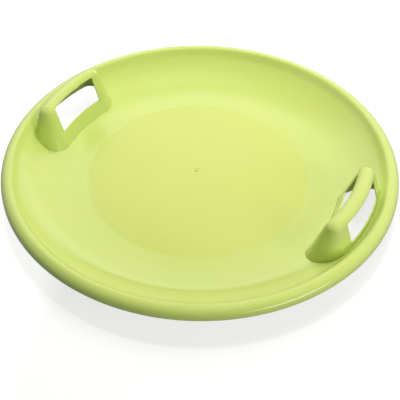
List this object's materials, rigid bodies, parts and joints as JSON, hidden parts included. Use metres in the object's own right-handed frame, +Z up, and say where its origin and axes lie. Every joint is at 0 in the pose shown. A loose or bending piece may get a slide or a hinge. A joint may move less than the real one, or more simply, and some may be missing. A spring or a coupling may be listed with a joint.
{
  "type": "plastic saucer sled",
  "caption": "Round lime plastic saucer sled: a shallow moulded dish with a rolled rim and a hooded grab handle on each side, for one rider sliding on snow.",
  "frame": {"origin": "on the axis of the round pan, at the level of the flat ring that the sled rests on", "axes": "+Z up out of the dish; the handles are at +X and -X, and their grip bars run along Y"},
  "size_m": [0.6, 0.6, 0.0797],
  "materials": {
    "pan_polyethylene": "lime injection moulded polyethylene, satin gloss",
    "handle_polyethylene": "lime injection moulded polyethylene, satin gloss"
  },
  "bodies": {
    "root": {"pan": "pan_polyethylene", "handle_left": "handle_polyethylene", "handle_right": "handle_polyethylene"}
  },
  "joints": []
}
